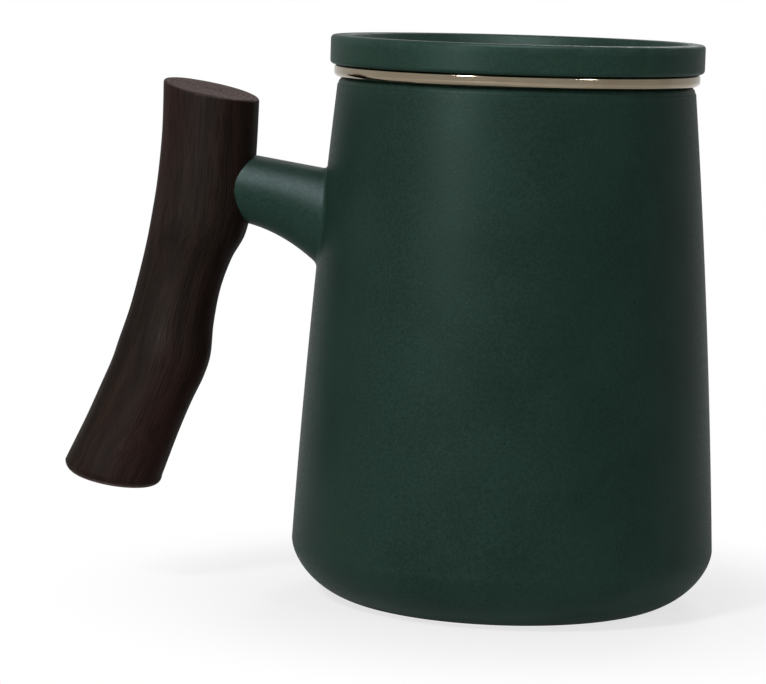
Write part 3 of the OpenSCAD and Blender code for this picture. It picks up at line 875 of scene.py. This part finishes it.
def makeBase():
    # rings of round holes in a flat disc, then a plain band, a bend and the turned-up edge
    n, reach = infuser["baseHoles"], infuser["baseReach"]
    side = 2 * n + 1
    half = np.arange(side) / n - 1
    points = (squareToDisc(np.stack(np.meshgrid(half, half, indexing="ij"), -1)) * reach).reshape(-1, 2)
    index = np.arange(side * side).reshape(side, side)
    outline = index[:-1:2, :-1:2].reshape(-1, 1) + border(index[:3, :3])
    middles = index[1::2, 1::2].ravel()
    centre = points[middles]
    spoke = points[outline] - centre[:, None]
    turn = np.arctan2(spoke[..., 1], spoke[..., 0]) - eighths
    turn = np.angle(np.exp(1j * turn).sum(1))[:, None] + eighths
    holes = centre[:, None] + infuser["baseHoleRadius"] * circle(turn)
    ring = len(points) + np.arange(8 * n * n).reshape(-1, 8)
    disc = np.concatenate([points, holes.reshape(-1, 2)])
    rim = border(index)
    angle = np.arctan2(points[rim, 1], points[rim, 0])
    bend = 2 * infuser["sheet"]
    line = joined(run([reach, basketFloor], [innerMesh - bend, basketFloor], 1.2),
                  arc([innerMesh - bend, basketFloor + bend], bend, -90, 0, 8),
                  run([innerMesh, basketFloor + bend], [innerMesh, basketFloor + infuser["baseEdge"]], 1))[1:]
    edge = turned(line, angle).reshape(-1, 3)
    rows = np.concatenate([rim[None], len(disc) + np.arange(len(edge)).reshape(-1, len(rim))])
    whole = np.concatenate([np.column_stack([disc, np.full(len(disc), basketFloor)]), edge])
    keep = np.setdiff1d(np.arange(len(whole)), middles)   # without the points where the holes are
    renumber = np.zeros(len(whole), int)
    renumber[keep] = np.arange(len(keep))
    faces = np.concatenate([quads(outline, ring)[:, [0, 3, 2, 1]], quads(rows[:-1], rows[1:])])
    base = meshPiece("infuserBase", whole[keep], renumber[faces].tolist())
    thicken(base, infuser["sheet"])
    return base


infuserWall = makeWall()
settle(infuserWall, "infuser", "infuser_wall", wallSteel)
infuserBase = makeBase()
settle(infuserBase, "infuser", "infuser_base", baseSteel)


# CAD nodes that stay.

for node, slot, material in (("handle_stud", "stud_steel", studSteel),
                             ("stub_insert", "insert_brass", insertBrass),
                             ("handle_washer", "washer_rubber", washerRubber)):
    kept = cadNodes[node]
    kept.data.materials.clear()
    kept.data.materials.append(material)
print("CAD nodes dressed")


# Floor, room, lamps and camera, in metres.

room = {
    "level": 0.25,   # the room's plain light
    "fallOff": (-0.5, 0.9, 0.65, 0.45),   # its white in gloss, from left to right
    "floorDark": (0.88, 0.88, 0.88), "floorLight": (0.91, 0.91, 0.91),
    # how white the floor is, from one distance from its middle to another
    "seen": (0.045, 0.11, 0.72, 1.0),   # to the camera, so that only the shadow shows
    "mirrored": (0.05, 0.35, 0.2, 1.0),   # in gloss
    "glowOnBase": (0.05, 0.14, 0.75, 0.0),   # as light on the mug's base: a painted glow from the floor, which is no lamp, in place of bounced light
}


def makeFloor():
    # a wide pale disc that shows the shadow near the object and is plain white to the camera beyond
    line = joined([[0, 0]], [[r, 0] for r in np.geomspace(20, 30000, 40)])
    floor = lathe("floor", line[::-1], 96)
    material, tree, shader = newMaterial("paleFloor", Roughness=0.9, Specular_IOR_Level=0.1)
    place = objectPlace(tree)
    paper = blend(tree, noise(tree, place, 30.0, 2.0), room["floorDark"], room["floorLight"])
    tree.links.new(paper, shader.inputs["Base Color"])
    distance = vectorCalc(tree, "LENGTH", place, output="Value")
    mirrored = between(tree, distance, *room["mirrored"])
    sideways = calc(tree, "DIVIDE", apartXYZ(tree, place)["X"], calc(tree, "MAXIMUM", distance, 0.001))
    mirrored = times(tree, mirrored, between(tree, sideways, *room["fallOff"]))
    rays = addNode(tree, "LightPath").outputs
    glow = plus(tree, times(tree, rays["Is Camera Ray"], between(tree, distance, *room["seen"])),
                times(tree, rays["Is Glossy Ray"], mirrored))
    # near the mug the floor glows for diffuse rays: painted light on the mug's base
    glow = plus(tree, glow, times(tree, rays["Is Diffuse Ray"], between(tree, distance, *room["glowOnBase"])))
    white = addNode(tree, "Emission", {"Color": (1, 1, 1, 1), "Strength": 1.0})
    mixed = addNode(tree, "MixShader", {0: glow, 1: shader.outputs[0], 2: white.outputs[0]})
    tree.links.new(mixed.outputs[0], tree.nodes["Material Output"].inputs["Surface"])
    material.cycles.emission_sampling = "NONE"
    floor.data.materials.append(material)


def makeWorld():
    # white to the camera, plain grey as light, and in gloss a white that falls off to the right
    world = bpy.data.worlds.new("plainRoom")
    world.use_nodes = True
    tree = world.node_tree
    tree.nodes.clear()
    rays = addNode(tree, "LightPath").outputs
    heading = apartXYZ(tree, addNode(tree, "TexCoord").outputs["Generated"])["X"]
    mirrored = times(tree, rays["Is Glossy Ray"], between(tree, heading, *room["fallOff"]))
    seen = calc(tree, "MAXIMUM", rays["Is Camera Ray"], mirrored)
    seen = calc(tree, "MAXIMUM", seen, rays["Is Transmission Ray"])
    strength = plus(tree, room["level"], times(tree, seen, 1 - room["level"]))
    light = addNode(tree, "Background", {"Color": (1, 1, 1, 1), "Strength": strength})
    addNode(tree, "OutputWorld", {"Surface": light.outputs[0]})
    scene.world = world


def around(azimuth, elevation, distance):
    # a place round the mug's middle; azimuth 0 is the camera's side, positive to its right
    a, e = math.radians(azimuth), math.radians(elevation)
    return (distance * math.sin(a) * math.cos(e), -distance * math.cos(a) * math.cos(e),
            distance * math.sin(e) + mugMiddle[2])


def addLamp(name, place, aim, size, watts, plain=True, gloss=True, lit=None, clearImage=False):
    # a square soft light turned to aim, which gives plain light, gloss or both; lit is the only piece
    # that it reaches, and clearImage is for a small bright spot in the polished rim
    place, aim = Vector(place), Vector(aim)
    data = bpy.data.lights.new(name, "AREA")
    data.size, data.energy = size, watts
    data.cycles.use_multiple_importance_sampling = clearImage
    lamp = intoScene(name, data)
    lamp.location = place
    lamp.rotation_euler = (place - aim).to_track_quat("Z", "Y").to_euler()
    lamp.visible_camera = False
    lamp.visible_diffuse, lamp.visible_glossy = plain, gloss
    if lit:
        reached = bpy.data.collections.new(name + "Reaches")
        reached.objects.link(lit)
        lamp.light_linking.receiver_collection = reached


mugMiddle, lidMiddle = (0, 0, 0.09), (0, 0, 0.12)
stubMiddle, gripMiddle = (-0.065, 0, 0.09), (-0.08, 0, 0.08)
lampDistance = 1.3
# lamps for everything: azimuth, elevation, side in metres, watts, and gloss or not
roomLamps = {
    "keyLight": (-35, 38, 0.22, 8.6, True),
    "lowLight": (-22, 4, 0.4, 4.0, False),
    "fillLight": (44, 30, 0.24, 1.1, True),
    "backLight": (165, 32, 0.5, 5.0, True),
}
# gloss for one piece: the piece, place, aim, side in metres, watts
glossLamps = {
    "ringLeft": (infuserRim, around(-36, 38, lampDistance), mugMiddle, 0.2, 7.0),
    "ringRight": (infuserRim, around(48.5, 30, lampDistance), mugMiddle, 0.17, 2.4),
    "sideGlow": (mugShell, around(-36, 20.5, 0.427), mugMiddle, 0.1, 2.7),
    "lidGlow": (lidDisc, around(-36, 1, 0.427), lidMiddle, 0.1, 1.45),
    "rimGlow": (lidDisc, (-0.02, -0.3, 0.75), lidMiddle, 0.3, 17.0),
    "topGlow": (stubHorn, (-0.05, -0.34, 0.46), stubMiddle, 0.44, 20.5),
    "gripGlow": (gripBranch, around(-30, 25, 0.5), gripMiddle, 0.12, 7.5),
}
view = {"place": (0.0, -0.7768, 0.1477), "lens": 162.45, "sensor": 36.0,
        "pitch": 0.1156, "yaw": 0.0364, "roll": 0.0290}   # angles in radians


def makeCamera():
    # long lens, a little above the mug, turned and rolled slightly
    yaw, pitch, roll = view["yaw"], view["pitch"], view["roll"]
    forward = Vector((-math.sin(yaw) * math.cos(pitch), math.cos(yaw) * math.cos(pitch), -math.sin(pitch)))
    right = Vector((math.cos(yaw), math.sin(yaw), 0))
    up = right.cross(forward)
    right, up = (right * math.cos(roll) + up * math.sin(roll), up * math.cos(roll) - right * math.sin(roll))
    data = bpy.data.cameras.new("camera")
    data.lens, data.sensor_width = view["lens"], view["sensor"]
    camera = intoScene("camera", data)
    turn = Matrix((right, up, -forward)).transposed().to_4x4()
    camera.matrix_world = Matrix.Translation(view["place"]) @ turn
    scene.camera = camera


makeFloor()
makeWorld()
for name, (azimuth, elevation, size, watts, gloss) in roomLamps.items():
    addLamp(name, around(azimuth, elevation, lampDistance), mugMiddle, size, watts, gloss=gloss)
for name, (piece, place, aim, size, watts) in glossLamps.items():
    addLamp(name, place, aim, size, watts, plain=False, lit=piece, clearImage=piece is infuserRim)
makeCamera()
scene.view_settings.view_transform = "Standard"
print("floor, light and camera ready")
